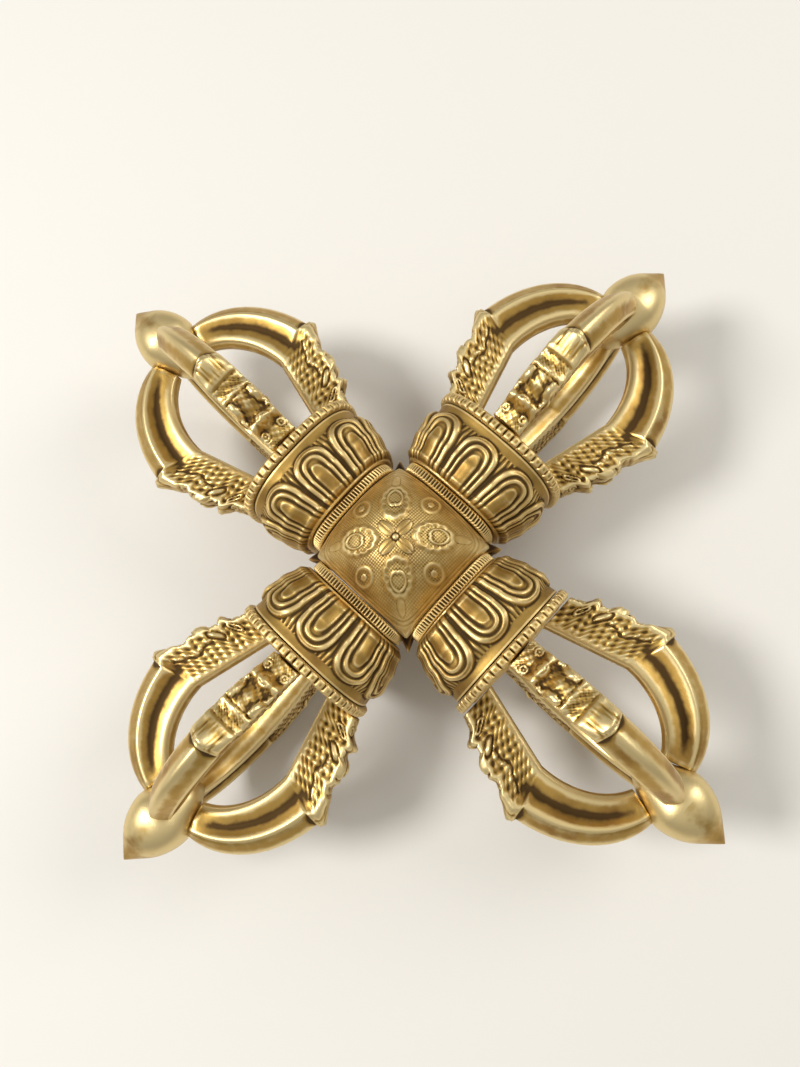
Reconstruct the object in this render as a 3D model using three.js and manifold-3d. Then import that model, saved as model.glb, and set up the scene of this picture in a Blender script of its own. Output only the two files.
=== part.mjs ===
// A double vajra in cast brass: a cushion-shaped hub with four arms in a cross.
// Each arm is a ribbed ring, a lotus collar, a beaded ring, a cage of four bowed prongs that spring from
// sea-monster heads, and a pointed tip that holds the four prongs together. There is nothing inside a cage.
// Millimetres, +Z up. The arms run along +X, +Y, -X and -Y. The origin is on the table, under the hub's middle.
import * as THREE from "three";
import { mergeVertices } from "three/addons/utils/BufferGeometryUtils.js";
import Module from "manifold-3d";

const wasm = await Module();
wasm.setup();

// Clearance left between any two castings that seat on each other.
const GAP = 0.3;

// Hub: a core with four sockets, and a domed face plate above and below it.
const HUB_TOP = 31;
const HUB_EDGE_HEIGHT = 16.4;
const HUB_CORNER_HEIGHT = 6;
const CUSHION_POWER = 2.6;
const CORE_HALF = 18.9;
const PLATE_THICKNESS = 2.4;
const WEB_LENGTH = 2.4;
const WEB_HALF_HEIGHT = 3.2;
const HUB_CELLS = 8;

// Joint between arm and core: a round tenon, and a spigot that carries the ribbed ring.
const TENON_RADIUS = 8;
const TENON_LENGTH = 7.6;
const TENON_SIDES = 16;

// Ribbed ring.
const RIB_RING_INSET = 1.6;
const RIB_RING_WALL = 4.3;
const RIB_RING_WIDTH = 3.2;
const RIB_DEPTH = 0.8;
const RIB_COUNT = 28;
const RIB_RING_SQUARENESS = 3.2;

// Lotus collar, in section a circle drawn a little towards a square.
const COLLAR_LENGTH = 19.9;
const COLLAR_BACK_RADIUS = 20.4;
const COLLAR_BULGE_RADIUS = 23.6;
const COLLAR_FRONT_RADIUS = 22.9;
const COLLAR_SQUARENESS = 2.6;
const PETAL_COUNT = 10;
const PETAL_RELIEF = 1.4;
const FRONT_SPIGOT_RADIUS = 19.4;

// Beaded ring.
const BEAD_RING_RADIUS = 23.9;
const BEAD_RING_WIDTH = 3.2;
const BEAD_DEPTH = 1.3;
const BEAD_COUNT = 28;

// Prong: a straight stretch with the monster's head on it, then a smooth bow that turns in to the tip.
const ROOT_INNER_RADIUS = 11.6;
const ROOT_OUTER_RADIUS = 24.3;
const HEAD_LENGTH = 30.8;
const BOW_START = 23.3;
const BOW_REACH = 36.8;
const BOW_OUTER_RADIUS = 36.5;
const BOW_CENTRE_RADIUS = 8;
const BOW_END_RADIUS = 9.4;
const BOW_INNER_START = 26.3;
const BOW_INNER_REACH = 24.5;
const BOW_INNER_RADIUS = 19;
const SEAT_RADIUS = 6.2;
const PRONG_HALF_WIDTH = 5.9;
const PRONG_END_HALF_WIDTH = 3.9;
const GROOVE_DEPTH = 2.3;
const FLANGE_INSET = 1.3;
const FLANGE_THICKNESS = 2.4;
const ROOF_DROP = 5.2;
const RIDGE_HALF_WIDTH = 1.7;
const RIDGE_DROP = 0.9;
const BOW_STEPS = 5;
const PRONG_TENON_DEPTH = 5;
const PRONG_TENON_HALF_WIDTH = 3;
const PRONG_TENON_INNER_RADIUS = 12.6;
const PRONG_TENON_OUTER_RADIUS = 17.8;

// Flat worn on the snouts that the object lies on.
const REST_WEAR = 0.6;

// Pointed tip: a cone that the prong ends close on, then a bud drawn to a point.
const TIP_SHOULDER_RADIUS = 9.8;
const TIP_LENGTH = 17.9;
const TIP_CURVE = 1.6;
const TIP_BOSS_LENGTH = 3;
const TIP_BOSS_RADIUS = 4.2;
const TIP_SQUARENESS = 2.3;
const TIP_SIDES = 12;
const TIP_STEPS = 6;

// The ribbed rings stand a little inside the hub's edge, and the webs between them reach past its corners.
const ribRingRadius = CORE_HALF - RIB_RING_INSET;
const ribRingBore = ribRingRadius - RIB_RING_WALL;
const backSpigotRadius = ribRingBore - GAP;
const webReach = CORE_HALF + WEB_LENGTH;

// Where each piece starts and ends along its arm, out from the hub's middle.
const ribRingStart = CORE_HALF + GAP;
const ribRingEnd = ribRingStart + RIB_RING_WIDTH;
const collarBack = ribRingEnd + GAP;
const collarFront = collarBack + COLLAR_LENGTH;
const beadRingStart = collarFront + GAP;
const beadRingEnd = beadRingStart + BEAD_RING_WIDTH;
const collarFace = beadRingEnd + GAP;
const prongRoot = collarFace + GAP;
const bowEnd = prongRoot + BOW_START + BOW_REACH;
const tipShoulder = bowEnd + GAP;

// The monster's head from the prong's root to the end of its snout. At each station: its place as a share of the
// head's length, how far it rises above the prong's own line, and the half widths of its crest and of its cheeks.
const HEAD = [
  { at: 0, rise: 0.2, crest: 3.2, cheek: 4.8 },
  { at: 0.22, rise: 2.9, crest: 1.6, cheek: 5 },
  { at: 0.32, rise: 0.3, crest: 2.4, cheek: 5.2 },
  { at: 0.42, rise: 2.6, crest: 3.4, cheek: 6 },
  { at: 0.55, rise: 2.3, crest: 3.4, cheek: 6 },
  { at: 0.64, rise: 0.3, crest: 3, cheek: 5.2 },
  { at: 0.78, rise: 1.5, crest: 2.8, cheek: 5.4 },
  { at: 0.93, rise: 2.8, crest: 1.9, cheek: 5.6 },
  { at: 0.99, rise: 1.7, crest: 1.9, cheek: 5.8 },
];

const brass = {
  plate: new THREE.MeshStandardMaterial({ color: 0xb98f4a, roughness: 0.42, metalness: 1 }),
  relief: new THREE.MeshStandardMaterial({ color: 0xa8834a, roughness: 0.5, metalness: 1 }),
  smooth: new THREE.MeshStandardMaterial({ color: 0xc6a055, roughness: 0.34, metalness: 1 }),
  core: new THREE.MeshStandardMaterial({ color: 0x7d6242, roughness: 0.6, metalness: 1 }),
};

function lerp(a, b, t) {
  return a + (b - a) * t;
}

function geometryOf(points, index) {
  const geometry = new THREE.BufferGeometry().setFromPoints(points);
  geometry.setIndex(index);
  geometry.computeVertexNormals();
  return geometry;
}

// A skin over rings of equal length that follow each other. Each ring runs anticlockwise as seen from the next.
function skin(rings, closed) {
  const count = rings[0].length;
  const bands = closed ? rings.length : rings.length - 1;
  const index = [];
  for (let i = 0; i < bands; i++) {
    const here = i * count;
    const next = ((i + 1) % rings.length) * count;
    for (let j = 0; j < count; j++) {
      const k = (j + 1) % count;
      index.push(here + j, here + k, next + k, here + j, next + k, next + j);
    }
  }
  return index;
}

function loft(rings) {
  const count = rings[0].length;
  const last = (rings.length - 1) * count;
  const index = skin(rings, false);
  for (let j = 1; j + 1 < count; j++) {
    index.push(0, j + 1, j, last, last + j, last + j + 1);
  }
  return geometryOf(rings.flat(), index);
}

function hoop(sections) {
  return geometryOf(sections.flat(), skin(sections, true));
}

function solidOf(geometry) {
  const bare = geometry.clone();
  bare.deleteAttribute("normal");
  bare.deleteAttribute("uv");
  const merged = mergeVertices(bare, 1e-4);
  return new wasm.Manifold(
    new wasm.Mesh({
      numProp: 3,
      vertProperties: merged.attributes.position.array,
      triVerts: new Uint32Array(merged.index.array),
    }),
  );
}

function geometryFrom(solid) {
  const mesh = solid.getMesh();
  const geometry = new THREE.BufferGeometry();
  geometry.setAttribute("position", new THREE.BufferAttribute(mesh.vertProperties, 3));
  geometry.setIndex(new THREE.BufferAttribute(mesh.triVerts, 1));
  geometry.computeVertexNormals();
  return geometry;
}

function box(low, high) {
  const size = new THREE.Vector3().subVectors(high, low);
  const middle = new THREE.Vector3().addVectors(low, high).multiplyScalar(0.5);
  return new THREE.BoxGeometry(size.x, size.y, size.z).translate(middle.x, middle.y, middle.z);
}

// A round bar along the arm.
function barAlongArm(start, end, radius, sides) {
  return new THREE.CylinderGeometry(radius, radius, end - start, sides)
    .rotateZ(-Math.PI / 2)
    .translate((start + end) / 2, 0, 0);
}

// Radius, at an angle, of an outline between a circle (power 2) and a square.
function squaredRadius(radius, angle, power) {
  const c = Math.abs(Math.cos(angle)) ** power;
  const s = Math.abs(Math.sin(angle)) ** power;
  return radius / (c + s) ** (1 / power);
}

function aroundArm(along, radius, angle) {
  return new THREE.Vector3(along, radius * Math.cos(angle), radius * Math.sin(angle));
}

// Height of the hub's cushion above its middle plane.
function cushionHeight(x, y) {
  const fx = Math.abs(x / CORE_HALF) ** CUSHION_POWER;
  const fy = Math.abs(y / CORE_HALF) ** CUSHION_POWER;
  const edgeDrop = HUB_TOP - HUB_EDGE_HEIGHT;
  const cornerLift = HUB_CORNER_HEIGHT - HUB_TOP + 2 * edgeDrop;
  return HUB_TOP - edgeDrop * (fx + fy) + cornerLift * fx * fy;
}

// A square block between two height fields, on a grid of cells.
function squareBlock(half, cells, bottomAt, topAt) {
  const side = cells + 1;
  const points = [];
  for (const heightAt of [bottomAt, topAt]) {
    for (let j = 0; j < side; j++) {
      for (let i = 0; i < side; i++) {
        const x = lerp(-half, half, i / cells);
        const y = lerp(-half, half, j / cells);
        points.push(new THREE.Vector3(x, y, heightAt(x, y)));
      }
    }
  }
  const index = [];
  const top = side * side;
  const quad = (a, b, c, d) => index.push(a, b, c, a, c, d);
  for (let j = 0; j < cells; j++) {
    for (let i = 0; i < cells; i++) {
      const a = j * side + i;
      const b = a + 1;
      const c = a + side + 1;
      const d = a + side;
      // Each cell is split towards the block's middle, so that the split is the same when the block is turned over.
      if (i < cells / 2 === j < cells / 2) {
        quad(a, d, c, b);
        quad(top + a, top + b, top + c, top + d);
      } else {
        quad(b, a, d, c);
        quad(top + b, top + c, top + d, top + a);
      }
    }
  }
  for (let i = 0; i < cells; i++) {
    const front = i;
    const back = cells * side + i;
    const left = i * side;
    const right = i * side + cells;
    quad(front, front + 1, top + front + 1, top + front);
    quad(back + 1, back, top + back, top + back + 1);
    quad(left + side, left, top + left, top + left + side);
    quad(right, right + side, top + right + side, top + right);
  }
  return geometryOf(points, index);
}

function facePlate() {
  const under = (x, y) => cushionHeight(x, y) - PLATE_THICKNESS;
  return squareBlock(CORE_HALF, HUB_CELLS, under, cushionHeight);
}

// The core under the plates, with a web in each corner between two arms and a socket for each arm's tenon.
function hubCore() {
  const top = (x, y) => cushionHeight(x, y) - PLATE_THICKNESS - GAP;
  const bottom = (x, y) => -top(x, y);
  let core = solidOf(squareBlock(CORE_HALF, HUB_CELLS, bottom, top));
  const webInside = ribRingRadius + 2 * GAP;
  const socketRadius = TENON_RADIUS + GAP;
  const socketEnd = CORE_HALF - TENON_LENGTH;
  const low = new THREE.Vector3(webInside, webInside, -WEB_HALF_HEIGHT);
  const high = new THREE.Vector3(webReach, webReach, WEB_HALF_HEIGHT);
  for (let k = 0; k < 4; k++) {
    core = core.add(solidOf(box(low, high).rotateZ((k * Math.PI) / 2)));
  }
  for (let k = 0; k < 4; k++) {
    const socket = barAlongArm(socketEnd, webReach, socketRadius, TENON_SIDES);
    core = core.subtract(solidOf(socket.rotateZ((k * Math.PI) / 2)));
  }
  return geometryFrom(core);
}

// A ring whose outside rises and falls in even teeth: ribs on one ring, beads on the other.
function toothedRing(start, width, innerRadius, outerRadius, depth, count, power) {
  const sections = [];
  for (let i = 0; i < 2 * count; i++) {
    const angle = (i * Math.PI) / count;
    const sunk = i % 2 === 0 ? 0 : depth;
    const pinch = sunk * 0.4;
    const inner = squaredRadius(innerRadius, angle, power);
    const outer = squaredRadius(outerRadius - sunk, angle, power);
    sections.push([
      aroundArm(start, inner, angle),
      aroundArm(start + width, inner, angle),
      aroundArm(start + width - pinch, outer, angle),
      aroundArm(start + pinch, outer, angle),
    ]);
  }
  return hoop(sections);
}

// Outer radius of the lotus collar on a plain line, before its petals.
function collarRadius(share) {
  const flare = Math.sin((share * Math.PI) / 1.5);
  const plain = lerp(COLLAR_BACK_RADIUS, COLLAR_FRONT_RADIUS, share);
  return plain + (COLLAR_BULGE_RADIUS - COLLAR_FRONT_RADIUS) * Math.max(0, flare);
}

// Half width of a petal, as a share of its pitch: it widens from the ring, then closes in a round end.
function petalHalfWidth(share) {
  const petalEnd = 0.84;
  const t = Math.min(1, share / petalEnd);
  return (0.34 + 0.1 * t) * Math.sqrt(Math.max(0, 1 - t ** 6));
}

function collarBody() {
  const perPetal = 4;
  const stations = [0, 0.08, 0.45, 0.82, 0.9, 1];
  const rings = stations.map((share) => {
    const along = lerp(collarBack, collarFront, share);
    const ring = [];
    for (let i = 0; i < PETAL_COUNT * perPetal; i++) {
      const offset = (i % perPetal) + 0.5 - perPetal / 2;
      const inPitch = Math.abs(offset) / perPetal;
      const raised = share > 0 && inPitch < petalHalfWidth(share);
      const angle = ((i + 0.5) * 2 * Math.PI) / (PETAL_COUNT * perPetal) - Math.PI / PETAL_COUNT;
      const radius = squaredRadius(collarRadius(share), angle, COLLAR_SQUARENESS);
      ring.push(aroundArm(along, radius + (raised ? PETAL_RELIEF / 2 : -PETAL_RELIEF / 2), angle));
    }
    return ring;
  });
  return loft(rings);
}

// A plug along the arm with the outline that a ring fits over.
function spigot(start, end, radius, power) {
  const sides = 24;
  const rings = [start, end].map((along) => {
    const ring = [];
    for (let i = 0; i < sides; i++) {
      const angle = (i * 2 * Math.PI) / sides;
      ring.push(aroundArm(along, squaredRadius(radius, angle, power), angle));
    }
    return ring;
  });
  return loft(rings);
}

// The block on a prong's root that goes into the collar, grown all round by a clearance when it cuts the socket.
function prongTenon(clearance, overrun) {
  const low = new THREE.Vector3(
    collarFace - PRONG_TENON_DEPTH + GAP - clearance,
    -PRONG_TENON_HALF_WIDTH - clearance,
    PRONG_TENON_INNER_RADIUS - clearance,
  );
  const high = new THREE.Vector3(
    prongRoot + overrun,
    PRONG_TENON_HALF_WIDTH + clearance,
    PRONG_TENON_OUTER_RADIUS + clearance,
  );
  return box(low, high);
}

function lotusCollar() {
  const reach = CORE_HALF - TENON_LENGTH + GAP;
  const lap = COLLAR_LENGTH / 10;
  let collar = solidOf(collarBody());
  const tenon = barAlongArm(reach, collarBack + lap, TENON_RADIUS, TENON_SIDES);
  const backSpigot = spigot(ribRingStart, collarBack + lap, backSpigotRadius, RIB_RING_SQUARENESS);
  const frontSpigot = spigot(collarFront - lap, collarFace, FRONT_SPIGOT_RADIUS, COLLAR_SQUARENESS);
  for (const piece of [tenon, backSpigot, frontSpigot]) {
    collar = collar.add(solidOf(piece));
  }
  for (let k = 0; k < 4; k++) {
    collar = collar.subtract(solidOf(prongTenon(GAP, GAP).rotateX((k * Math.PI) / 2)));
  }
  return geometryFrom(collar);
}

// One section of a prong, in the plane of the arm's axis and the prong. It runs from the keel, on the inside, to
// the crown, on the outside, with a groove down each flank.
function prongSection(keel, crown, shape) {
  const depth = keel.distanceTo(crown);
  const at = (fromCrown, side) => {
    const p = new THREE.Vector2().lerpVectors(crown, keel, fromCrown / depth);
    return new THREE.Vector3(p.x, side, p.y);
  };
  const flangeAt = depth - FLANGE_THICKNESS;
  const grooveAt = (shape.cheekDrop + flangeAt) / 2;
  const half = [
    at(shape.crestDrop, shape.crest),
    at(shape.cheekDrop, shape.cheek),
    at(grooveAt, shape.cheek - shape.groove),
    at(flangeAt, shape.cheek - FLANGE_INSET),
  ];
  const mirrored = half.map((p) => new THREE.Vector3(p.x, -p.y, p.z));
  return [at(0, 0), ...mirrored, at(depth, 0), ...half.reverse()];
}

// A point of an ellipse's quarter, as a share of the turn from its top down to the radius where it ends.
function bowPoint(start, reach, centreRadius, topRadius, endRadius, share) {
  const height = topRadius - centreRadius;
  const last = Math.asin((endRadius - centreRadius) / height);
  const angle = lerp(Math.PI / 2, last, share);
  return new THREE.Vector2(prongRoot + start + reach * Math.cos(angle), centreRadius + height * Math.sin(angle));
}

function bowCrown(share) {
  return bowPoint(BOW_START, BOW_REACH, BOW_CENTRE_RADIUS, BOW_OUTER_RADIUS, BOW_END_RADIUS, share);
}

function bowKeel(share) {
  return bowPoint(BOW_INNER_START, BOW_INNER_REACH, 0, BOW_INNER_RADIUS, SEAT_RADIUS, share);
}

// Where on the bow the head ends and the smooth metal starts.
function bowShareAt(along) {
  const last = Math.asin((BOW_END_RADIUS - BOW_CENTRE_RADIUS) / (BOW_OUTER_RADIUS - BOW_CENTRE_RADIUS));
  const angle = Math.acos((along - BOW_START) / BOW_REACH);
  return (Math.PI / 2 - angle) / (Math.PI / 2 - last);
}

function headCrown(station) {
  const foot = bowCrown(bowShareAt(HEAD_LENGTH));
  const line = lerp(ROOT_OUTER_RADIUS, foot.y, station.at);
  return new THREE.Vector2(prongRoot + HEAD_LENGTH * station.at, line + station.rise);
}

function headSections() {
  const keelEnd = bowKeel(0);
  return HEAD.map((station) => {
    const keel = new THREE.Vector2(
      lerp(prongRoot, keelEnd.x - GAP, station.at),
      lerp(ROOT_INNER_RADIUS, keelEnd.y, station.at),
    );
    return prongSection(keel, headCrown(station), {
      crest: station.crest,
      crestDrop: 0.3 + 0.15 * station.rise,
      cheek: station.cheek,
      cheekDrop: 1.2 + station.rise,
      groove: GROOVE_DEPTH / 3,
    });
  });
}

function bowSections() {
  const first = bowShareAt(HEAD_LENGTH + GAP);
  const sections = [];
  for (let i = 0; i <= BOW_STEPS; i++) {
    const share = i / BOW_STEPS;
    const crown = bowCrown(lerp(first, 1, share));
    const width = lerp(PRONG_HALF_WIDTH, PRONG_END_HALF_WIDTH, share ** 2);
    const fade = 1 - share ** 4;
    sections.push(
      prongSection(bowKeel(share), crown, {
        crest: RIDGE_HALF_WIDTH,
        crestDrop: RIDGE_DROP,
        cheek: width,
        cheekDrop: lerp(ROOF_DROP / 2, ROOF_DROP, fade),
        groove: GROOVE_DEPTH * fade,
      }),
    );
  }
  return sections;
}

const snoutRadius = Math.max(...HEAD.map((station) => headCrown(station).y));
const restHeight = snoutRadius - REST_WEAR;

// A prong above the arm's axis. One that the object lies on has its snout worn flat.
function prong(worn) {
  let solid = solidOf(loft([...headSections(), ...bowSections()]));
  solid = solid.add(solidOf(prongTenon(0, GAP + RIDGE_DROP)));
  if (worn) {
    const low = new THREE.Vector3(prongRoot, -2 * PRONG_HALF_WIDTH, restHeight);
    const high = new THREE.Vector3(bowEnd, 2 * PRONG_HALF_WIDTH, 2 * snoutRadius);
    solid = solid.subtract(solidOf(box(low, high)));
  }
  return geometryFrom(solid);
}

// The tip, with the cone behind its shoulder that the four prong ends close on.
function pointedTip() {
  const keelEnd = bowKeel(1);
  const profile = [
    [keelEnd.x - TIP_BOSS_LENGTH, TIP_BOSS_RADIUS],
    [keelEnd.x, SEAT_RADIUS - 2 * GAP],
    [bowEnd, BOW_END_RADIUS - 2 * GAP],
    [tipShoulder, TIP_SHOULDER_RADIUS - GAP],
  ];
  for (let i = 0; i < TIP_STEPS; i++) {
    const share = i / TIP_STEPS;
    const taper = 1 - share ** TIP_CURVE;
    profile.push([tipShoulder + 1 + share * (TIP_LENGTH - 1), TIP_SHOULDER_RADIUS * taper]);
  }
  const rings = profile.map(([along, radius]) => {
    const ring = [];
    for (let i = 0; i < TIP_SIDES; i++) {
      const angle = ((i + 0.5) * 2 * Math.PI) / TIP_SIDES;
      ring.push(aroundArm(along, squaredRadius(radius, angle, TIP_SQUARENESS), angle));
    }
    return ring;
  });
  rings.push(rings.at(-1).map(() => new THREE.Vector3(tipShoulder + TIP_LENGTH, 0, 0)));
  return mergeVertices(loft(rings).deleteAttribute("normal"), 1e-4);
}

function addMesh(group, name, geometry, material) {
  const mesh = new THREE.Mesh(geometry, material);
  mesh.name = name;
  group.add(mesh);
  return mesh;
}

const vajra = new THREE.Group();
const middle = new THREE.Group();
middle.position.z = restHeight;
vajra.add(middle);

addMesh(middle, "hub_core", hubCore(), brass.core);
addMesh(middle, "hub_plate_top", facePlate(), brass.plate);
addMesh(middle, "hub_plate_bottom", facePlate(), brass.plate).rotation.x = Math.PI;

const ribbedRing = toothedRing(
  ribRingStart,
  RIB_RING_WIDTH,
  ribRingBore,
  ribRingRadius,
  RIB_DEPTH,
  RIB_COUNT,
  RIB_RING_SQUARENESS,
);
const beadedRing = toothedRing(
  beadRingStart,
  BEAD_RING_WIDTH,
  FRONT_SPIGOT_RADIUS + GAP,
  BEAD_RING_RADIUS,
  BEAD_DEPTH,
  BEAD_COUNT,
  COLLAR_SQUARENESS,
);
const collar = lotusCollar();
const tip = pointedTip();
const plainProng = prong(false);
const wornProng = prong(true);

["east", "north", "west", "south"].forEach((side, k) => {
  const arm = new THREE.Group();
  arm.rotation.z = (k * Math.PI) / 2;
  middle.add(arm);
  addMesh(arm, `ribbed_ring_${side}`, ribbedRing, brass.relief);
  addMesh(arm, `lotus_collar_${side}`, collar, brass.relief);
  addMesh(arm, `beaded_ring_${side}`, beadedRing, brass.relief);
  addMesh(arm, `pointed_tip_${side}`, tip, brass.smooth);
  ["top", "left", "bottom", "right"].forEach((place, j) => {
    const shape = place === "bottom" ? wornProng : plainProng;
    addMesh(arm, `prong_${side}_${place}`, shape, brass.smooth).rotation.x = (-j * Math.PI) / 2;
  });
});

export default vajra;
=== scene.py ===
"""A double vajra in cast brass, with its ornament modelled over the construction's sizes.

Every shape is a grid of points in millimetres, drawn along an arm that points along +X with its axis at
the origin. It becomes a mesh in metres and is then turned to its place. How hollow the surface is at each
point is kept with the mesh, and the brass darkens there, as polishing never reaches it.
"""
import math

import bpy
import numpy as np
from mathutils import Matrix, Vector


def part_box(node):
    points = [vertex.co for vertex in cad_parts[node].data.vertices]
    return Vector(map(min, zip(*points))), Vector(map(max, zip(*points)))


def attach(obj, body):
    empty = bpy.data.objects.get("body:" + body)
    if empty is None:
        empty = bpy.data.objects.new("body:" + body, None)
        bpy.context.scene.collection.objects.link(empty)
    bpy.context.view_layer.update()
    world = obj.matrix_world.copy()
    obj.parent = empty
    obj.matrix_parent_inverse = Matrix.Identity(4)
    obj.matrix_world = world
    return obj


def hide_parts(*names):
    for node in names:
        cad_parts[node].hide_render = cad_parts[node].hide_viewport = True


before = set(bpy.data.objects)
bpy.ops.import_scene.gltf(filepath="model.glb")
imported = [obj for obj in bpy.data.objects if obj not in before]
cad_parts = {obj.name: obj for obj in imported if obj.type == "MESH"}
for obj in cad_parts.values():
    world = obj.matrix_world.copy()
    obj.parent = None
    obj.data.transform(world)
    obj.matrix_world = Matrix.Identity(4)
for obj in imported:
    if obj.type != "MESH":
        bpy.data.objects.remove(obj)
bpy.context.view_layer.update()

MM = 0.001
SIDES = ["east", "north", "west", "south"]
PLACES = ["top", "left", "bottom", "right"]

# Sizes of the castings, in millimetres, as in the construction.
GAP = 0.3
HUB_TOP = 31.0
HUB_EDGE_HEIGHT = 16.4
HUB_CORNER_HEIGHT = 6.0
HUB_HALF = 18.9
CUSHION_POWER = 2.6
PLATE_THICKNESS = 2.4
TENON_RADIUS = 8.0
RIB_RING_BORE = 13.0
RIB_RING_SQUARENESS = 3.2
COLLAR_SQUARENESS = 2.6
FRONT_SPIGOT_RADIUS = 19.4
ROOT_INNER_RADIUS = 11.6
ROOT_OUTER_RADIUS = 24.3
HEAD_LENGTH = 30.8
BOW_START = 23.3
BOW_REACH = 36.8
BOW_OUTER_RADIUS = 36.5
BOW_CENTRE_RADIUS = 8.0
BOW_END_RADIUS = 9.4
BOW_INNER_START = 26.3
BOW_INNER_RADIUS = 19.0
BOW_INNER_REACH = 24.5
FLANGE_THICKNESS = 2.4
SEAT_RADIUS = 6.2
TIP_LENGTH = 17.9
TIP_SQUARENESS = 2.3

# Sizes of the ornament, in millimetres.
RIB_ROOT_RADIUS = 16.3
BEAD_ROOT_RADIUS = 22.5
BEAD_RING_BORE = 19.8
BUD_RADIUS = 9.9

# Counts of what repeats.
RIB_COUNT = 108
BEAD_COUNT = 54
PETAL_COUNT = 10

ARM_AXIS = sum(c.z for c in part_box("pointed_tip_east")) / 2
HALF_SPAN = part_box("pointed_tip_east")[1].x


def along_arm(node):
    """Where a piece of the east arm starts and ends along it, in millimetres."""
    low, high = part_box(node)
    return low.x / MM, high.x / MM


def ease(x, stops, values):
    """Values at stops, joined by curves that are level at each stop."""
    stops, values = np.asarray(stops, float), np.asarray(values, float)
    i = np.clip(np.searchsorted(stops, x, side="right") - 1, 0, len(stops) - 2)
    t = np.clip((x - stops[i]) / (stops[i + 1] - stops[i]), 0, 1)
    return values[i] + (values[i + 1] - values[i]) * t * t * (3 - 2 * t)


def ridge(distance, width):
    """A smooth rise of height 1 where the distance is 0."""
    return np.exp(-((distance / width) ** 2))


def dome(distance):
    """A round boss of height 1 that ends where the distance is 1."""
    return np.sqrt(np.clip(1 - distance**2, 0, 1))


def full_turn(count):
    """Angles evenly round a circle."""
    return np.linspace(0, 2 * math.pi, count, endpoint=False)


def squared_radius(radius, angle, power):
    """Radius of an outline between a circle (power 2) and a square."""
    c, s = np.abs(np.cos(angle)) ** power, np.abs(np.sin(angle)) ** power
    return radius / (c + s) ** (1 / power)


def around_arm(along, radius, angle):
    """Points at a place along the arm, a radius from its axis and an angle round it."""
    along = np.broadcast_to(along, np.broadcast(radius, angle).shape)
    return np.stack([along, radius * np.cos(angle), radius * np.sin(angle)], axis=-1)


def rings_around_arm(profile, angle, squareness):
    """One ring of points for each pair in a profile: a place along the arm and the radius there."""
    return [around_arm(along, squared_radius(radius, angle, squareness), angle) for along, radius in profile]


# Meshes


def hollowness(points, ring_closed, reach):
    """How far each point lies below its neighbours, in millimetres, for faces that point out.

    Where they point in, the sign is the other way round.
    """
    def step(grid, axis, n):
        if axis == 1 or ring_closed:
            return np.roll(grid, n, axis)
        index = np.clip(np.arange(len(grid)) - n, 0, len(grid) - 1)
        return grid[index]

    mean = points
    for axis in (0, 1):
        mean = sum(step(mean, axis, n) for n in range(-reach, reach + 1)) / (2 * reach + 1)
    du = step(points, 0, -1) - step(points, 0, 1)
    dv = step(points, 1, -1) - step(points, 1, 1)
    normal = np.cross(dv, du)
    normal /= np.maximum(np.linalg.norm(normal, axis=-1, keepdims=True), 1e-9)
    return np.sum((mean - points) * normal, axis=-1)


def grid_mesh(name, points, hoop=False, reach=4, hollow_depth=0.22):
    """A closed mesh over rings of points: capped at both ends, or closed on itself as a hoop.

    Its "hollow" value runs from -1 on a high edge to 1 in a hollow of the depth given, in millimetres.
    """
    rows, cols = points.shape[:2]
    bands = rows if hoop else rows - 1
    i, j = np.meshgrid(np.arange(bands), np.arange(cols), indexing="ij")
    ni, nj = (i + 1) % rows, (j + 1) % cols
    quads = np.stack([i * cols + j, i * cols + nj, ni * cols + nj, ni * cols + j], axis=-1)
    faces = quads.reshape(-1, 4).tolist()
    if not hoop:
        faces.append(list(range(cols))[::-1])
        faces.append(list(range((rows - 1) * cols, rows * cols)))
    mesh = bpy.data.meshes.new(name)
    mesh.from_pydata((points.reshape(-1, 3) * MM).tolist(), [], faces)
    corners = [vertex.co.copy() for vertex in mesh.vertices]
    volume = sum(
        corners[face[0]].cross(corners[b]).dot(corners[c])
        for face in faces
        for b, c in zip(face[1:-1], face[2:])
    )
    inward = volume < 0
    if inward:
        mesh.flip_normals()
    hollow = hollowness(points, hoop, reach) / hollow_depth
    hollow = np.clip(-hollow if inward else hollow, -1, 1).ravel()
    attribute = mesh.attributes.new("hollow", "FLOAT", "POINT")
    attribute.data.foreach_set("value", hollow.astype(np.float32))
    mesh.polygons.foreach_set("use_smooth", np.ones(len(mesh.polygons), bool))
    mesh.update()
    return mesh


def place(name, mesh, material, turn, node):
    """Puts a mesh in its place as a piece of its own, which stands for the plain solid of that node."""
    if not mesh.materials:
        mesh.materials.append(material)
    piece = bpy.data.objects.new(name, mesh)
    bpy.context.scene.collection.objects.link(piece)
    piece.matrix_world = Matrix.Translation((0, 0, ARM_AXIS)) @ turn
    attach(piece, "root")
    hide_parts(node)


# Hub


def cushion_height(x, y):
    """Height of the hub's domed face over its middle plane."""
    fx, fy = np.abs(x / HUB_HALF) ** CUSHION_POWER, np.abs(y / HUB_HALF) ** CUSHION_POWER
    drop = HUB_TOP - HUB_EDGE_HEIGHT
    return HUB_TOP - drop * (fx + fy) + (HUB_CORNER_HEIGHT - HUB_TOP + 2 * drop) * fx * fy


def square_ring(count):
    """Points round a square of half width 1, starting and ending in a corner."""
    t = np.arange(count) / count * 4
    side, part = t.astype(int), (t % 1) * 2 - 1
    x = np.choose(side, [part, np.ones(count), -part, -np.ones(count)])
    y = np.choose(side, [-np.ones(count), part, np.ones(count), -part])
    return x, y


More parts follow.
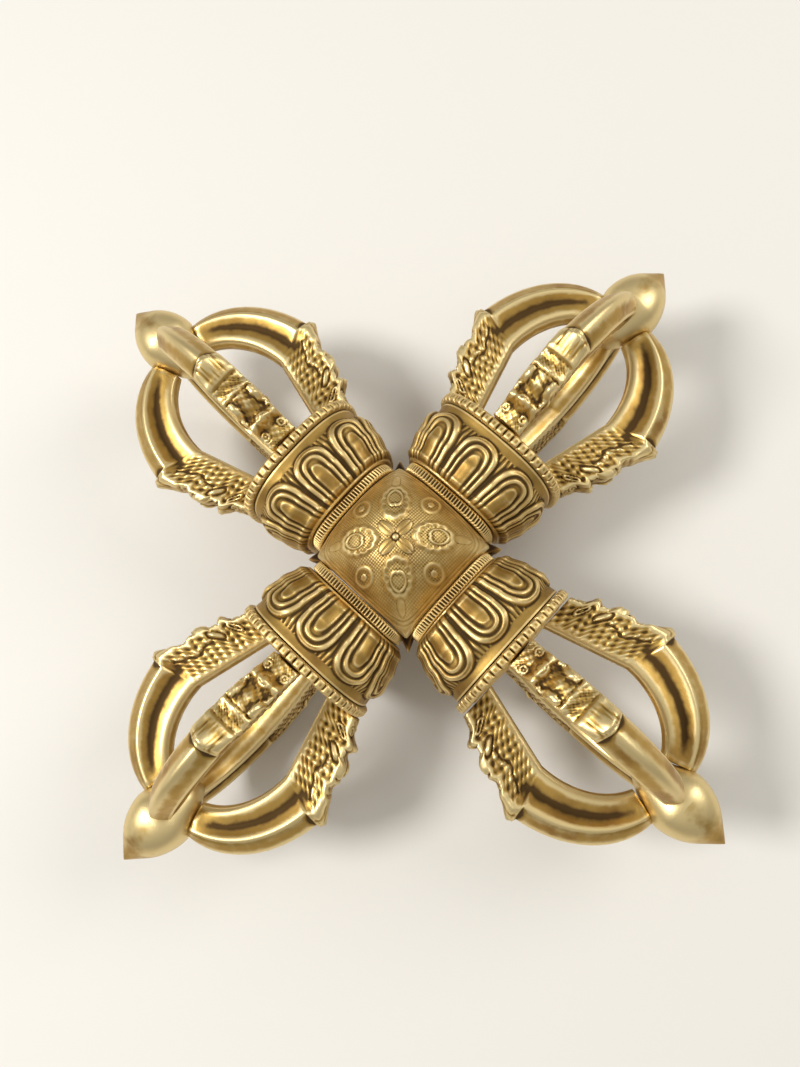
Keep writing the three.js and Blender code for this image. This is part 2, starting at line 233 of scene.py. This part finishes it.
def engraving(x, y):
    """Height of the chasing on the hub's face, in millimetres.

    It is a four-leaf flower, a frilled scroll with a leaf towards each corner, a ringed boss towards each
    side and a hatched ground with two border lines. The motifs' sizes across the face are before the spread.
    """
    hatch_pitch, spread = 0.7, 1.25
    petal_at, petal_half_length, petal_half_width = 2.9, 2.3, 1.35
    boss_at, boss_radius, boss_ring_radius = 11.4, 0.8, 2.0
    scroll_at, scroll_stretch, scroll_radius, frill_count = 8.6, 1.3, 2.9, 5.5
    corner_leaf_at, corner_leaf_half_length = 14.6, 2.2
    border_lines, border_depth, border_width, ground_half = (17.0, 17.9), 0.16, 0.16, 16.6
    lines = np.sin((x + y) * math.pi / hatch_pitch) * np.sin((x - y) * math.pi / hatch_pitch)
    raised = np.zeros_like(x)
    for k in range(4):
        c, s = math.cos(k * math.pi / 2) / spread, math.sin(k * math.pi / 2) / spread
        u, v = x * c + y * s, -x * s + y * c
        petal = np.hypot((u - petal_at) / petal_half_length, v / petal_half_width)
        raised = np.maximum(raised, 0.45 * dome(petal) - 0.22 * ridge(v, 0.18) * (petal < 1))
        from_boss = np.hypot(u - boss_at, v)
        raised = np.maximum(raised, 0.36 * ridge(from_boss - boss_ring_radius, 0.42))
        raised = np.maximum(raised, 0.4 * dome(from_boss / boss_radius))
        d, e = (u + v) / math.sqrt(2), (v - u) / math.sqrt(2)
        turn = np.arctan2(e, d - scroll_at)
        frill = 0.5 * np.abs(np.sin(turn * frill_count))
        loop = np.hypot((d - scroll_at) / scroll_stretch, e)
        raised = np.maximum(raised, 0.42 * ridge(loop - scroll_radius - 0.5 * frill, 0.5))
        raised = np.maximum(raised, 0.34 * ridge(loop - 2.5 + 0.62 * np.abs(turn), 0.26))
        corner_leaf = np.hypot((d - corner_leaf_at) / corner_leaf_half_length, e)
        raised = np.maximum(raised, 0.3 * dome(corner_leaf))
    raised = np.maximum(raised, 0.6 * dome(np.hypot(x, y)))
    edge = (np.abs(x) ** 8 + np.abs(y) ** 8) ** (1 / 8)
    border = sum(border_depth * ridge(edge - at, border_width) for at in border_lines)
    ground = (0.07 * lines - 0.05) * (raised < 0.06) * (edge < ground_half)
    return raised + ground - border


def face_plate_mesh():
    """A domed plate over the core, chased on top, with its edge rounded down to the seam."""
    around, steps, edge_drop = 800, 105, 0.7
    x, y = square_ring(around)
    scale = np.concatenate([np.linspace(0.004, 1, steps), [1.0], np.linspace(0.96, 0.02, 9)])
    gx, gy = np.outer(scale, x) * HUB_HALF, np.outer(scale, y) * HUB_HALF
    top = np.arange(len(scale)) < steps
    shape = cushion_height(gx, gy)
    rounding = edge_drop * ridge(1 - scale, 0.02)[:, None]
    carved = shape + engraving(gx, gy) - rounding
    z = np.where(top[:, None], carved, shape - PLATE_THICKNESS)
    return grid_mesh("face_plate", np.stack([gx, gy, z], axis=-1), reach=3, hollow_depth=0.14)


def hub_body_mesh():
    """The core, whose four corners reach out between the arms as smooth webs."""
    around, cap_rings, side_rings = 320, 24, 24
    web_reach, web_width, web_height = 2.5, 2.6, 6.5
    inset = PLATE_THICKNESS + GAP
    x, y = square_ring(around)
    caps = np.linspace(0.02, 1, cap_rings)
    sides = np.linspace(1, -1, side_rings)[1:-1]
    rings = []
    for scale in caps:
        face_height = cushion_height(x * scale * HUB_HALF, y * scale * HUB_HALF)
        rings.append((x * scale, y * scale, face_height - inset))
    edge = cushion_height(x * HUB_HALF, y * HUB_HALF) - inset
    rings += [(x, y, edge * side) for side in sides]
    rings += [(u, v, -w) for u, v, w in rings[:cap_rings][::-1]]
    gx, gy, z = (np.array(part) for part in zip(*rings))
    corner = np.hypot(1 - np.abs(gx), 1 - np.abs(gy)) * HUB_HALF
    swell = web_reach * ridge(corner, web_width) * ridge(z, web_height)
    points = np.stack([gx * HUB_HALF + swell * np.sign(gx), gy * HUB_HALF + swell * np.sign(gy), z], axis=-1)
    return grid_mesh("hub_body", points)


# Rings and collar


def rim(across, power):
    """Height 1 in the middle of a ring's width, rounded off at its two edges. A high power keeps it flat."""
    return np.sqrt(1 - (np.abs(across) * 0.98) ** power)


def ring_mesh(name, node, across, angle, outer, bore, **finish):
    """A ring where the node is, from the radii of its outer face and of its bore."""
    start, end = along_arm(node)
    along = (start + end) / 2 + across * (end - start) / 2
    face = around_arm(along, outer, angle)
    inside = around_arm(along[[-1, 0]], np.repeat(bore, 2, axis=1), angle)
    return grid_mesh(name, np.concatenate([face, inside], axis=1), hoop=True, **finish)


def ribbed_ring_mesh():
    """The ring at an arm's root, cut all round with fine ribs that lean a little across it."""
    points_per_rib, lean, ring_rise, rib_rise = 8, 0.5, 0.35, 0.65
    angle = full_turn(RIB_COUNT * points_per_rib)[:, None]
    across = np.linspace(-1, 1, 15)
    rib = 0.5 + 0.5 * np.cos(RIB_COUNT * angle + lean * across)
    plain = squared_radius(RIB_ROOT_RADIUS, angle, RIB_RING_SQUARENESS)
    outer = plain + rim(across, 6) * (ring_rise + rib_rise * rib)
    bore = squared_radius(RIB_RING_BORE, angle, RIB_RING_SQUARENESS)
    return ring_mesh(
        "ribbed_ring", "ribbed_ring_east", across, angle, outer, bore, reach=3, hollow_depth=0.16
    )


def beaded_ring_mesh():
    """The ring on the collar's rim, a row of touching beads."""
    points_per_bead, ring_rise, bead_rise = 14, 0.15, 1.4
    angle = full_turn(BEAD_COUNT * points_per_bead)[:, None]
    across = np.linspace(-1, 1, 17)
    in_bead = np.abs(((angle * BEAD_COUNT / (2 * math.pi)) % 1) * 2 - 1)
    bead = np.clip(1 - in_bead**5, 0, 1) ** 0.5
    plain = squared_radius(BEAD_ROOT_RADIUS, angle, COLLAR_SQUARENESS)
    outer = plain + rim(across, 4) * (ring_rise + bead_rise * bead)
    bore = squared_radius(BEAD_RING_BORE, angle, COLLAR_SQUARENESS)
    return ring_mesh("beaded_ring", "beaded_ring_east", across, angle, outer, bore)


def petal_relief(share, angle):
    """Height of a lotus petal over the plain collar, in millimetres.

    It has a tongue, a raised U round it and a broad lobe outside, with flutes between the petals. share
    runs from 0 at the collar's root to 1 at its rim.
    """
    half_width, length, bluntness = 0.45, 0.86, 2.2
    petal_edge, flute_end, flute_height = 1.03, 0.84, 0.14
    stops = [0, 0.3, 0.38, 0.46, 0.52, 0.6, 0.66, 0.72, 0.8, 0.94, petal_edge, 1.6]
    heights = [0.8, 0.65, 0.2, 0.2, 0.6, 0.6, 0.15, 0.15, 0.65, 0.5, -0.35, -0.4]
    in_pitch = (angle * PETAL_COUNT / (2 * math.pi)) % 1 - 0.5
    nested = ((np.abs(in_pitch) / half_width) ** bluntness + (share / length) ** 6) ** (1 / bluntness)
    flutes = flute_height * np.cos(in_pitch * PETAL_COUNT * 2 * math.pi)
    return ease(nested, stops, heights) + flutes * (nested > petal_edge) * (share < flute_end)


def lotus_collar_mesh():
    """The collar between the two rings, a bulging cup of petals with a flat face towards the cage."""
    points_per_petal, rows = 48, 110
    back = along_arm("ribbed_ring_east")[1] + GAP
    front = along_arm("beaded_ring_east")[0] - GAP
    face = along_arm("beaded_ring_east")[1] + GAP
    angle = full_turn(PETAL_COUNT * points_per_petal)[None, :]
    share = np.linspace(0, 1, rows)[:, None]
    plain = ease(share, [0, 0.12, 0.42, 0.68, 0.86, 1], [18.6, 20.2, 22.2, 23.3, 22.4, 22.7])
    fade = np.clip((share - 0.01) / 0.05, 0, 1)
    radius = squared_radius(plain, angle, COLLAR_SQUARENESS) + fade * petal_relief(share, angle)
    skin = around_arm(back + share * (front - back), radius, angle)
    root_side = [(back, TENON_RADIUS), (back, 17.5)]
    cage_side = [
        (front, FRONT_SPIGOT_RADIUS),
        (face - 0.4, FRONT_SPIGOT_RADIUS),
        (face, FRONT_SPIGOT_RADIUS - 0.5),
        (face, 15.0),
        (face + 0.6, 9.0),
        (face + 0.8, 1.0),
    ]
    rings = rings_around_arm(root_side, angle, COLLAR_SQUARENESS)
    ends = rings_around_arm(cage_side, angle, COLLAR_SQUARENESS)
    return grid_mesh("lotus_collar", np.concatenate([*rings, skin, *ends]), hollow_depth=0.3)


# Prongs and tips


def head_carving(u, v):
    """Height of the carving on a monster head's crown, in millimetres.

    u runs out from the prong's root and v across it. From the root come a stippled edge, curls, a ringed
    boss, a round and a long boss to each side, stipple between two cut bands, and a fluted snout.
    """
    boss_at, boss_radius, boss_ring_radius = 6.6, 2.5, 1.3
    long_boss = (13.4, 4.0, 2.9, 1.25, 0.9)
    round_boss = (9.8, 5.0, 1.3, 1.3, 0.8)
    curl_at, curl_out, curl_radius, curl_pitch = 3.4, 3.2, 1.7, 1.0
    stipple_pitch, snout_start, snout_end = 1.0, 22.2, 31.0
    flutes_out, band_places = (0.0, 1.3, 2.6), (16.4, 21.8)
    side = np.abs(v)
    boss = np.hypot(u - boss_at, v)
    cut = 0.7 * dome(boss / boss_radius) - 0.4 * ridge(boss - boss_ring_radius, 0.22)
    for at, out, half_length, half_width, height in (long_boss, round_boss):
        oval = np.hypot((u - at) / half_length, (side - out) / half_width)
        cut = cut + height * dome(oval) - 0.35 * ridge(oval - 1.15, 0.14)
    curl = np.hypot(u - curl_at, side - curl_out)
    cut = cut + 0.25 * np.cos(curl * 2 * math.pi / curl_pitch) * (curl < curl_radius)
    stipple = np.sin(u * 2 * math.pi / stipple_pitch) * np.sin(v * 2 * math.pi / stipple_pitch)
    cut = cut + 0.12 * stipple * (((u > 17) & (u < 21.5)) | (u < 2))
    snout = np.clip((u - snout_start) / 1.2, 0, 1) * np.clip((snout_end - u) / 1.5, 0, 1)
    for out in flutes_out:
        cut = cut - 0.32 * snout * ridge(side - out - 0.07 * (u - 22), 0.26)
    cast = 0.16 * np.sin(u * 2.7 + 1.3 * v) * np.sin(v * 3.1 - 0.6 * u) * (u < 22)
    first_band, second_band = (0.35 * ridge(u - at, 0.4) for at in band_places)
    return 1.3 * cut + cast - first_band - second_band


def flank_carving(u, drop):
    """Height of the carving on the head's sides, in millimetres: an eye, a curl of mane and a toothed jaw.

    u runs out from the prong's root, and drop is from the crown.
    """
    eye_at, eye_drop, eye_radius = 11.5, 4.4, 1.7
    mane_at, mane_drop, mane_radius, mane_pitch = 5.4, 4.6, 2.0, 1.3
    mouth_start, mouth_end, tooth_pitch = 13.5, 28, 1.6
    eye = np.hypot(u - eye_at, drop - eye_drop)
    mane = np.hypot(u - mane_at, drop - mane_drop)
    cut = 0.9 * dome(eye / eye_radius) - 0.4 * ridge(eye - 2.1, 0.25)
    cut = cut + 0.4 * np.cos(mane * 2 * math.pi / mane_pitch) * (mane < mane_radius)
    jaw = drop - 6.6 - 0.12 * (u - 14)
    in_mouth = (u > mouth_start) & (u < mouth_end)
    cut = cut - 0.5 * ridge(jaw, 0.35) * in_mouth
    teeth = np.abs(np.sin(u * math.pi / tooth_pitch))
    cut = cut + 0.35 * teeth * ridge(jaw + 0.9, 0.5) * in_mouth
    return cut + 0.22 * np.sin(1.9 * u + 0.8 * drop) * np.sin(1.6 * drop - 0.5 * u)


def resample(section, count):
    """The same open line with points evenly along it."""
    length = np.concatenate([[0], np.cumsum(np.linalg.norm(np.diff(section, axis=0), axis=1))])
    even = np.linspace(0, length[-1], count)
    return np.stack([np.interp(even, length, column) for column in section.T], axis=1)


def prong_rows():
    """Crown and keel of a prong out from its root, with how far each row is along the head and the bow."""
    head_rows, bow_rows = 130, 90
    height = BOW_OUTER_RADIUS - BOW_CENTRE_RADIUS
    last_outer = math.asin((BOW_END_RADIUS - BOW_CENTRE_RADIUS) / height)
    last_inner = math.asin(SEAT_RADIUS / BOW_INNER_RADIUS)
    first_outer = math.acos((HEAD_LENGTH - BOW_START) / BOW_REACH)
    foot = BOW_CENTRE_RADIUS + height * math.sin(first_outer)
    stops = [0, 0.14, 0.22, 0.32, 0.42, 0.55, 0.65, 0.78, 0.93, 0.985, 1.0]
    rises = [0.0, 0.2, 2.4, 0.4, 2.0, 1.8, 0.2, 1.5, 2.8, 1.6, 0.0]
    rows = []
    for t in np.linspace(0, 1, head_rows):
        crown_radius = ROOT_OUTER_RADIUS + (foot - ROOT_OUTER_RADIUS) * t + float(ease(t, stops, rises))
        keel_radius = ROOT_INNER_RADIUS + (BOW_INNER_RADIUS - ROOT_INNER_RADIUS) * t
        rows.append(((HEAD_LENGTH * t, crown_radius), (BOW_INNER_START * t, keel_radius), t, 0.0))
    for s in np.linspace(0, 1, bow_rows)[1:]:
        outer = first_outer + (last_outer - first_outer) * s
        inner = math.pi / 2 + (last_inner - math.pi / 2) * s
        crown = (BOW_START + BOW_REACH * math.cos(outer), BOW_CENTRE_RADIUS + height * math.sin(outer))
        keel = (BOW_INNER_START + BOW_INNER_REACH * math.cos(inner), BOW_INNER_RADIUS * math.sin(inner))
        rows.append((crown, keel, 1.0, s))
    return rows


def prong_section(depth, head, bow):
    """Outline across a prong, as drops from its crown and places to the side, and its cheeks' drop.

    The head is broad with a wide crest. The bow is smooth, grooved on each flank and narrower to its end.
    """
    half_points = 44
    smooth = float(ease(head, [0.72, 1.0], [0, 1]))
    cheek = 5.0 + 0.5 * float(ease(head, [0.2, 0.45], [0, 1])) - 1.7 * bow**2
    end_start, end_length = 0.93, 0.075
    past_start = max(0.0, (bow - end_start) / end_length)
    rounding = math.sqrt(max(0.0, 1 - past_start**2))
    cheek *= 0.72 + 0.28 * rounding
    crest = (1 - smooth) * 3.2 + smooth * 1.5
    crest_drop = 0.45 + 0.4 * smooth
    cheek_drop = (1.9 + 3.0 * smooth) * (1 - 0.45 * bow**4)
    groove = (0.9 + 1.4 * smooth) * (1 - bow**4)
    flange = depth - FLANGE_THICKNESS
    controls = np.array([
        (0, 0),
        (crest_drop, min(crest, cheek * 0.6)),
        (cheek_drop - 0.9, cheek - 0.75 * smooth),
        (cheek_drop - 0.6, cheek - 0.95 * smooth),
        (cheek_drop - 0.3, cheek - 0.3 * smooth),
        (cheek_drop, cheek),
        (cheek_drop + 0.8, cheek - 0.3),
        ((cheek_drop + flange) / 2, cheek - groove),
        (flange, cheek * 0.78),
        (depth - 0.8, cheek * 0.7),
        (depth, 0),
    ])
    half = resample(controls, half_points)
    ring = np.concatenate([half, (half * [1, -1])[-2:0:-1]])
    for _ in range(2):
        ring = (np.roll(ring, 1, 0) + 2 * ring + np.roll(ring, -1, 0)) / 4
    return ring[:, 0], ring[:, 1], cheek_drop


def prong_mesh(name, worn_radius=None):
    """A prong from its root to its seat on the tip. A lower one is worn flat at the radius given."""
    root = along_arm("beaded_ring_east")[1] + 2 * GAP
    rings = []
    for crown, keel, head, bow in prong_rows():
        crown, keel = np.array(crown), np.array(keel)
        depth = np.linalg.norm(keel - crown)
        drop, side, cheek_drop = prong_section(depth, head, bow)
        outward = (crown - keel) / depth
        base = crown - outward * drop[:, None]
        on_roof = np.clip(1.6 - drop / max(cheek_drop, 0.1), 0, 1)
        carving = head_carving(base[:, 0], side) * on_roof * (1 - float(ease(head, [0.97, 1.0], [0, 1])))
        base = base + outward * carving[:, None]
        on_flank = np.clip(drop - cheek_drop, 0, 1) * np.clip(depth - 1.6 - drop, 0, 1)
        on_flank = on_flank * (1 - float(ease(head, [0.88, 1.0], [0, 1])))
        side = side + np.sign(side) * on_flank * flank_carving(crown[0], drop)
        rings.append(np.stack([root + base[:, 0], side, base[:, 1]], axis=1))
    points = np.array(rings)
    if worn_radius is not None:
        points[..., 2] = np.minimum(points[..., 2], worn_radius)
    return grid_mesh(name, points, hollow_depth=0.3)


def pointed_tip_mesh():
    """The bud that the prongs close on, drawn out to a point."""
    around, rows, bud_start, point_radius = 96, 70, 0.6, 0.02
    apex = along_arm("pointed_tip_east")[1]
    shoulder = apex - TIP_LENGTH
    angle = full_turn(around)[None, :]
    share = np.linspace(0, 1, rows)[:, None]
    taper = np.clip(1 - share**2, 0, 1) * (1 - 0.12 * ridge(share - 0.86, 0.2))
    radius = squared_radius(BUD_RADIUS * taper + point_radius, angle, TIP_SQUARENESS)
    bud = around_arm(shoulder + bud_start + share * (apex - shoulder - bud_start), radius, angle)
    seat = [
        (shoulder - 13, 3.8),
        (shoulder - 9.5, 6.0),
        (shoulder - 5.5, 7.7),
        (shoulder - 2.6, 9.0),
        (shoulder - 0.8, 9.7),
    ]
    rings = rings_around_arm(seat, angle, TIP_SQUARENESS)
    return grid_mesh("pointed_tip", np.concatenate([*rings, bud]))


# Materials


def srgb(code):
    """A colour written as sRGB hex, as the linear colour that a shader takes."""
    parts = [int(code[i : i + 2], 16) / 255 for i in (1, 3, 5)]
    return [c / 12.92 if c <= 0.04045 else ((c + 0.055) / 1.055) ** 2.4 for c in parts] + [1.0]


def add_node(tree, kind, settings=None, inputs=None):
    """Adds a node with its settings. An input is a plain value, or another node's output to link."""
    node = tree.nodes.new(kind)
    for key, value in (settings or {}).items():
        setattr(node, key, value)
    for key, value in (inputs or {}).items():
        if isinstance(value, bpy.types.NodeSocket):
            tree.links.new(value, node.inputs[key])
        else:
            node.inputs[key].default_value = value
    return node


def cast_brass(name, bright, body, patina, tarnish, roughness, grime_and_shade):
    """Cast brass, hand polished: bright where it is rubbed, brown where polish and dust fill its hollows.

    Tarnish comes and goes over patches of about 14 mm. Casting pits of about 0.5 mm show as a faint grain.
    They are finer on the real surface and are drawn as coarse as they need to be to show.
    """
    patch_mm, mottle_mm, pit_mm, pit_depth_mm = 14, 3, 0.5, 0.12
    grimy_roughness = 0.68
    material = bpy.data.materials.new(name)
    material.use_nodes = True
    tree = material.node_tree
    tree.nodes.clear()
    where = add_node(tree, "ShaderNodeTexCoord").outputs["Object"]
    own = add_node(tree, "ShaderNodeObjectInfo").outputs["Random"]
    shift = add_node(tree, "ShaderNodeMath", {"operation": "MULTIPLY"}, {0: own, 1: 3.0}).outputs[0]
    patches, mottle, pits = (
        add_node(
            tree, "ShaderNodeTexNoise", {"noise_dimensions": "4D"},
            {"Vector": where, "W": shift, "Scale": 1 / (size * MM), "Detail": 5.0},
        ).outputs["Fac"]
        for size in (patch_mm, mottle_mm, pit_mm)
    )
    hollow = add_node(tree, "ShaderNodeAttribute", {"attribute_name": "hollow"}).outputs["Fac"]
    # The grime value darkens the whole surface: dust on most brass, and painted shade on the core between
    # the arms.
    uneven = add_node(
        tree, "ShaderNodeMath", {"operation": "MULTIPLY_ADD"}, {0: mottle, 1: 0.8, 2: grime_and_shade - 0.4}
    ).outputs[0]
    depth = add_node(tree, "ShaderNodeMath", {"operation": "ADD"}, {0: hollow, 1: uneven}).outputs[0]
    dark = add_node(
        tree, "ShaderNodeMapRange", {"interpolation_type": "SMOOTHSTEP"},
        {"Value": depth, "From Min": 0.0, "From Max": 0.75},
    ).outputs[0]
    rubbed = add_node(
        tree, "ShaderNodeMapRange", {"interpolation_type": "SMOOTHSTEP"},
        {"Value": depth, "From Min": 0.02, "From Max": -0.55},
    ).outputs[0]
    stained = add_node(
        tree, "ShaderNodeMapRange", {"interpolation_type": "SMOOTHSTEP"},
        {"Value": patches, "From Min": 0.5, "From Max": 0.72, "To Max": 0.7},
    ).outputs[0]
    colour = srgb(body)
    for factor, over in ((stained, tarnish), (rubbed, bright), (dark, patina)):
        colour = add_node(
            tree, "ShaderNodeMix", {"data_type": "RGBA"}, {0: factor, 6: colour, 7: srgb(over)}
        ).outputs[2]
    dull = add_node(
        tree, "ShaderNodeMapRange", {}, {"Value": dark, "To Min": roughness, "To Max": grimy_roughness}
    ).outputs[0]
    rough = add_node(
        tree, "ShaderNodeMath", {"operation": "MULTIPLY_ADD"}, {0: patches, 1: 0.16, 2: dull}
    ).outputs[0]
    bump = add_node(
        tree, "ShaderNodeBump", {}, {"Strength": 0.35, "Distance": pit_depth_mm * MM, "Height": pits}
    ).outputs[0]
    shader = add_node(
        tree, "ShaderNodeBsdfPrincipled", {},
        {"Base Color": colour, "Metallic": 1.0, "Roughness": rough, "Normal": bump},
    )
    add_node(tree, "ShaderNodeOutputMaterial", {}, {"Surface": shader.outputs[0]})
    return material


# Brass rubbed by hands on the prongs and tips: pale gold, with the tightest reflections.
polished_brass = cast_brass(
    "polished_brass", bright="#E3CC94", body="#B8954F", patina="#5E482B", tarnish="#8F6632",
    roughness=0.33, grime_and_shade=0.12,
)
# Chased brass on the hub's faces: the cut lines hold old polish and read dark against the bright flower.
engraved_brass = cast_brass(
    "engraved_brass", bright="#E6CF98", body="#C3A462", patina="#5E492C", tarnish="#96703A",
    roughness=0.4, grime_and_shade=0.0,
)
# Cast relief on rings and collars: high edges rubbed bright, grey-brown dirt in the flutes.
relief_brass = cast_brass(
    "relief_brass", bright="#DFC488", body="#A98848", patina="#564329", tarnish="#85602F",
    roughness=0.4, grime_and_shade=0.16,
)
# Brass on the core, seen between the arms: brown and dull. Its darker body, patina and grime values are
# painted shade for the recesses between the arms.
patinated_brass = cast_brass(
    "patinated_brass", bright="#C9A155", body="#8E6A38", patina="#3E2E1C", tarnish="#7E5226",
    roughness=0.42, grime_and_shade=0.4,
)


# Putting the pieces in place


def dress_hub():
    """The core and its two face plates, the lower one turned over."""
    up, over = Matrix.Identity(4), Matrix.Rotation(math.pi, 4, "X")
    # The core's darker brass is painted shade for the recesses between the arms.
    place("hub_body", hub_body_mesh(), patinated_brass, up, "hub_core")
    plate = face_plate_mesh()
    for name, turn in (("top", up), ("bottom", over)):
        place(f"face_plate_{name}", plate, engraved_brass, turn, f"hub_plate_{name}")


def dress_arms():
    """The pieces of each arm, which share their meshes. The lower prongs are worn flat at the ground."""
    ribbed, collar, beaded = ribbed_ring_mesh(), lotus_collar_mesh(), beaded_ring_mesh()
    tip, prong = pointed_tip_mesh(), prong_mesh("prong")
    worn = prong_mesh("worn_prong", worn_radius=ARM_AXIS / MM)
    for k, side in enumerate(SIDES):
        arm = Matrix.Rotation(k * math.pi / 2, 4, "Z")
        place(f"ribs_{side}", ribbed, relief_brass, arm, f"ribbed_ring_{side}")
        place(f"lotus_{side}", collar, relief_brass, arm, f"lotus_collar_{side}")
        place(f"beads_{side}", beaded, relief_brass, arm, f"beaded_ring_{side}")
        place(f"tip_{side}", tip, polished_brass, arm, f"pointed_tip_{side}")
        for j, where in enumerate(PLACES):
            turn = arm @ Matrix.Rotation(-j * math.pi / 2, 4, "X")
            shape = worn if where == "bottom" else prong
            node = f"prong_{side}_{where}"
            place(f"makara_{node}", shape, polished_brass, turn, node)


# Camera, lights and floor


def add_camera():
    """The photograph's view: from above and near, rolled, with an arm towards each corner of the frame."""
    elevation, roll, turn = math.radians(78.0), math.radians(24.0), math.radians(23.7)
    distance, aside, above = 2.12, 0.012, 0.054
    focal_px, long_side_px, sensor_mm = 845, 1067, 36
    forward = Vector((0, math.cos(elevation), -math.sin(elevation)))
    right = Vector((1, 0, 0))
    up = right.cross(forward)
    centre = (-forward * distance + right * aside + up * above) * HALF_SPAN
    axes = (
        right * math.cos(roll) - up * math.sin(roll),
        right * math.sin(roll) + up * math.cos(roll),
        -forward,
    )
    facing = Matrix(axes).transposed().to_4x4()
    back = Matrix.Rotation(-turn, 4, "Z")
    data = bpy.data.cameras.new("camera")
    data.sensor_width = sensor_mm
    data.lens = focal_px / long_side_px * sensor_mm
    data.clip_start = 0.01
    camera = bpy.data.objects.new("camera", data)
    camera.matrix_world = Matrix.Translation((0, 0, ARM_AXIS)) @ back @ Matrix.Translation(centre) @ facing
    bpy.context.scene.collection.objects.link(camera)
    bpy.context.scene.camera = camera


def add_lamp(name, place_at, size, watts):
    """A round soft lamp, in metres, that faces the hub."""
    data = bpy.data.lights.new(name, "AREA")
    data.shape, data.size, data.energy = "DISK", size, watts
    lamp = bpy.data.objects.new(name, data)
    lamp.location = place_at
    lamp.rotation_euler = (Vector((0, 0, ARM_AXIS)) - Vector(place_at)).to_track_quat("-Z", "Y").to_euler()
    bpy.context.scene.collection.objects.link(lamp)


def add_floor():
    """A wide sheet of matt pale paper under the object."""
    floor_mesh = bpy.data.meshes.new("floor")
    reach = 3.0
    corners = [(-reach, -reach, 0), (reach, -reach, 0), (reach, reach, 0), (-reach, reach, 0)]
    floor_mesh.from_pydata(corners, [], [(0, 1, 2, 3)])
    floor = bpy.data.objects.new("floor", floor_mesh)
    bpy.context.scene.collection.objects.link(floor)
    matt = bpy.data.materials.new("matt_paper")
    matt.use_nodes = True
    shader = matt.node_tree.nodes["Principled BSDF"]
    shader.inputs["Base Color"].default_value = srgb("#DEDAD2")
    shader.inputs["Roughness"].default_value = 0.9
    floor_mesh.materials.append(matt)


def add_sky():
    """Soft light that is stronger from above. The camera sees it as an even pale backdrop."""
    world = bpy.data.worlds.new("studio")
    bpy.context.scene.world = world
    world.use_nodes = True
    tree = world.node_tree
    tree.nodes.clear()
    direction = add_node(tree, "ShaderNodeTexCoord").outputs["Generated"]
    height = add_node(tree, "ShaderNodeSeparateXYZ", {}, {"Vector": direction}).outputs["Z"]
    level = add_node(
        tree, "ShaderNodeMapRange", {},
        {"Value": height, "From Min": -0.1, "From Max": 0.9, "To Min": 0.25, "To Max": 0.75},
    ).outputs[0]
    seen = add_node(tree, "ShaderNodeLightPath").outputs["Is Camera Ray"]
    shown = add_node(tree, "ShaderNodeMix", {"data_type": "FLOAT"}, {0: seen, 2: level, 3: 0.9}).outputs[0]
    sky = add_node(tree, "ShaderNodeBackground", {}, {"Color": srgb("#F2F1EE"), "Strength": shown})
    add_node(tree, "ShaderNodeOutputWorld", {}, {"Surface": sky.outputs[0]})


add_camera()
dress_hub()
dress_arms()
add_floor()
add_sky()
add_lamp("key", place_at=(-0.5, 0.5, 0.9), size=0.35, watts=9)
add_lamp("fill", place_at=(0.8, -0.3, 0.7), size=0.6, watts=4)
bpy.context.scene.view_settings.view_transform = "Standard"
